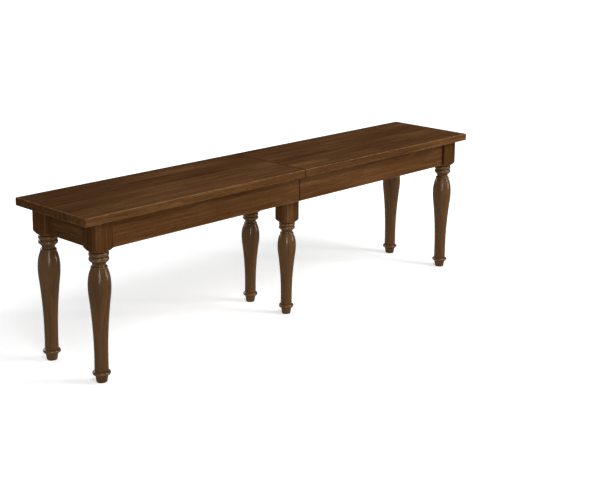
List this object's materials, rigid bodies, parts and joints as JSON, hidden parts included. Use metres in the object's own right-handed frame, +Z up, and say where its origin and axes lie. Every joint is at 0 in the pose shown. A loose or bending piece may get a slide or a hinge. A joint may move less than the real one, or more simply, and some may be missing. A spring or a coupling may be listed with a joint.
{
  "type": "extending dining bench",
  "caption": "Long wooden bench on turned legs whose seat parts at a middle seam and draws apart on geared slides, with a fixed middle frame and a seam lock.",
  "frame": {"origin": "on the floor under the middle of the closed bench", "axes": "+X along the bench to its right end, +Y across the seat to the back, +Z up"},
  "size_m": [1.5748, 0.3048, 0.4572],
  "materials": {
    "stained_wood": "satin walnut-brown stain under clear lacquer",
    "rail_wood": "waxed pale hardwood",
    "block_wood": "sanded unfinished wood",
    "pin_wood": "smooth pale hardwood",
    "screw_steel": "zinc plated",
    "gear_steel": "dull machined steel",
    "lock_brass": "satin brass"
  },
  "bodies": {
    "centre_frame": {"centre_front_leg": "stained_wood", "centre_back_leg": "stained_wood", "centre_leg_board": "block_wood", "front_centre_rail": "rail_wood", "back_centre_rail": "rail_wood", "centre_leg_bolts": "screw_steel", "centre_leg_nuts": "screw_steel", "centre_rail_screws": "screw_steel", "pinion_axles": "screw_steel"},
    "left_half": {"left_seat": "stained_wood", "left_front_apron": "stained_wood", "left_back_apron": "stained_wood", "left_end_apron": "stained_wood", "left_front_leg": "stained_wood", "left_back_leg": "stained_wood", "left_front_rail": "rail_wood", "left_back_rail": "rail_wood", "left_front_rack": "gear_steel", "left_back_rack": "gear_steel", "left_corner_blocks": "block_wood", "left_glue_blocks": "block_wood", "left_hanger_bolts": "screw_steel", "left_hanger_nuts": "screw_steel", "left_rail_screws": "screw_steel", "seam_pins": "pin_wood", "lock_base": "lock_brass"},
    "right_half": {"right_seat": "stained_wood", "right_front_apron": "stained_wood", "right_back_apron": "stained_wood", "right_end_apron": "stained_wood", "right_front_leg": "stained_wood", "right_back_leg": "stained_wood", "right_front_rail": "rail_wood", "right_back_rail": "rail_wood", "right_front_rack": "gear_steel", "right_back_rack": "gear_steel", "right_corner_blocks": "block_wood", "right_glue_blocks": "block_wood", "right_hanger_bolts": "screw_steel", "right_hanger_nuts": "screw_steel", "right_rail_screws": "screw_steel", "lock_keeper": "lock_brass"},
    "front_pinion_wheel": {"front_pinion": "gear_steel"},
    "back_pinion_wheel": {"back_pinion": "gear_steel"},
    "seam_bolt": {"lock_bolt": "lock_brass"}
  },
  "joints": [
    {"name": "left_slide", "type": "slide", "parent": "centre_frame", "child": "left_half", "axis": [-1, 0, 0], "range_m": [0, 0.305]},
    {"name": "right_slide", "type": "slide", "parent": "centre_frame", "child": "right_half", "axis": [1, 0, 0], "range_m": [0, 0.305]},
    {"name": "front_pinion_spin", "type": "hinge", "parent": "centre_frame", "child": "front_pinion_wheel", "pos_m": [0, -0.0613, 0.41875], "axis": [0, 0, 1], "range_deg": [-1180, 0]},
    {"name": "back_pinion_spin", "type": "hinge", "parent": "centre_frame", "child": "back_pinion_wheel", "pos_m": [0, 0.0613, 0.41875], "axis": [0, 0, 1], "range_deg": [0, 1180]},
    {"name": "lock_slide", "type": "slide", "parent": "left_half", "child": "seam_bolt", "axis": [1, 0, 0], "range_m": [0, 0.022]}
  ],
  "couplings": [
    {"joint": "right_slide", "follows": "left_slide", "ratio": 1},
    {"joint": "front_pinion_spin", "follows": "left_slide", "rad_per_m": -66.667},
    {"joint": "back_pinion_spin", "follows": "left_slide", "rad_per_m": 66.667}
  ]
}
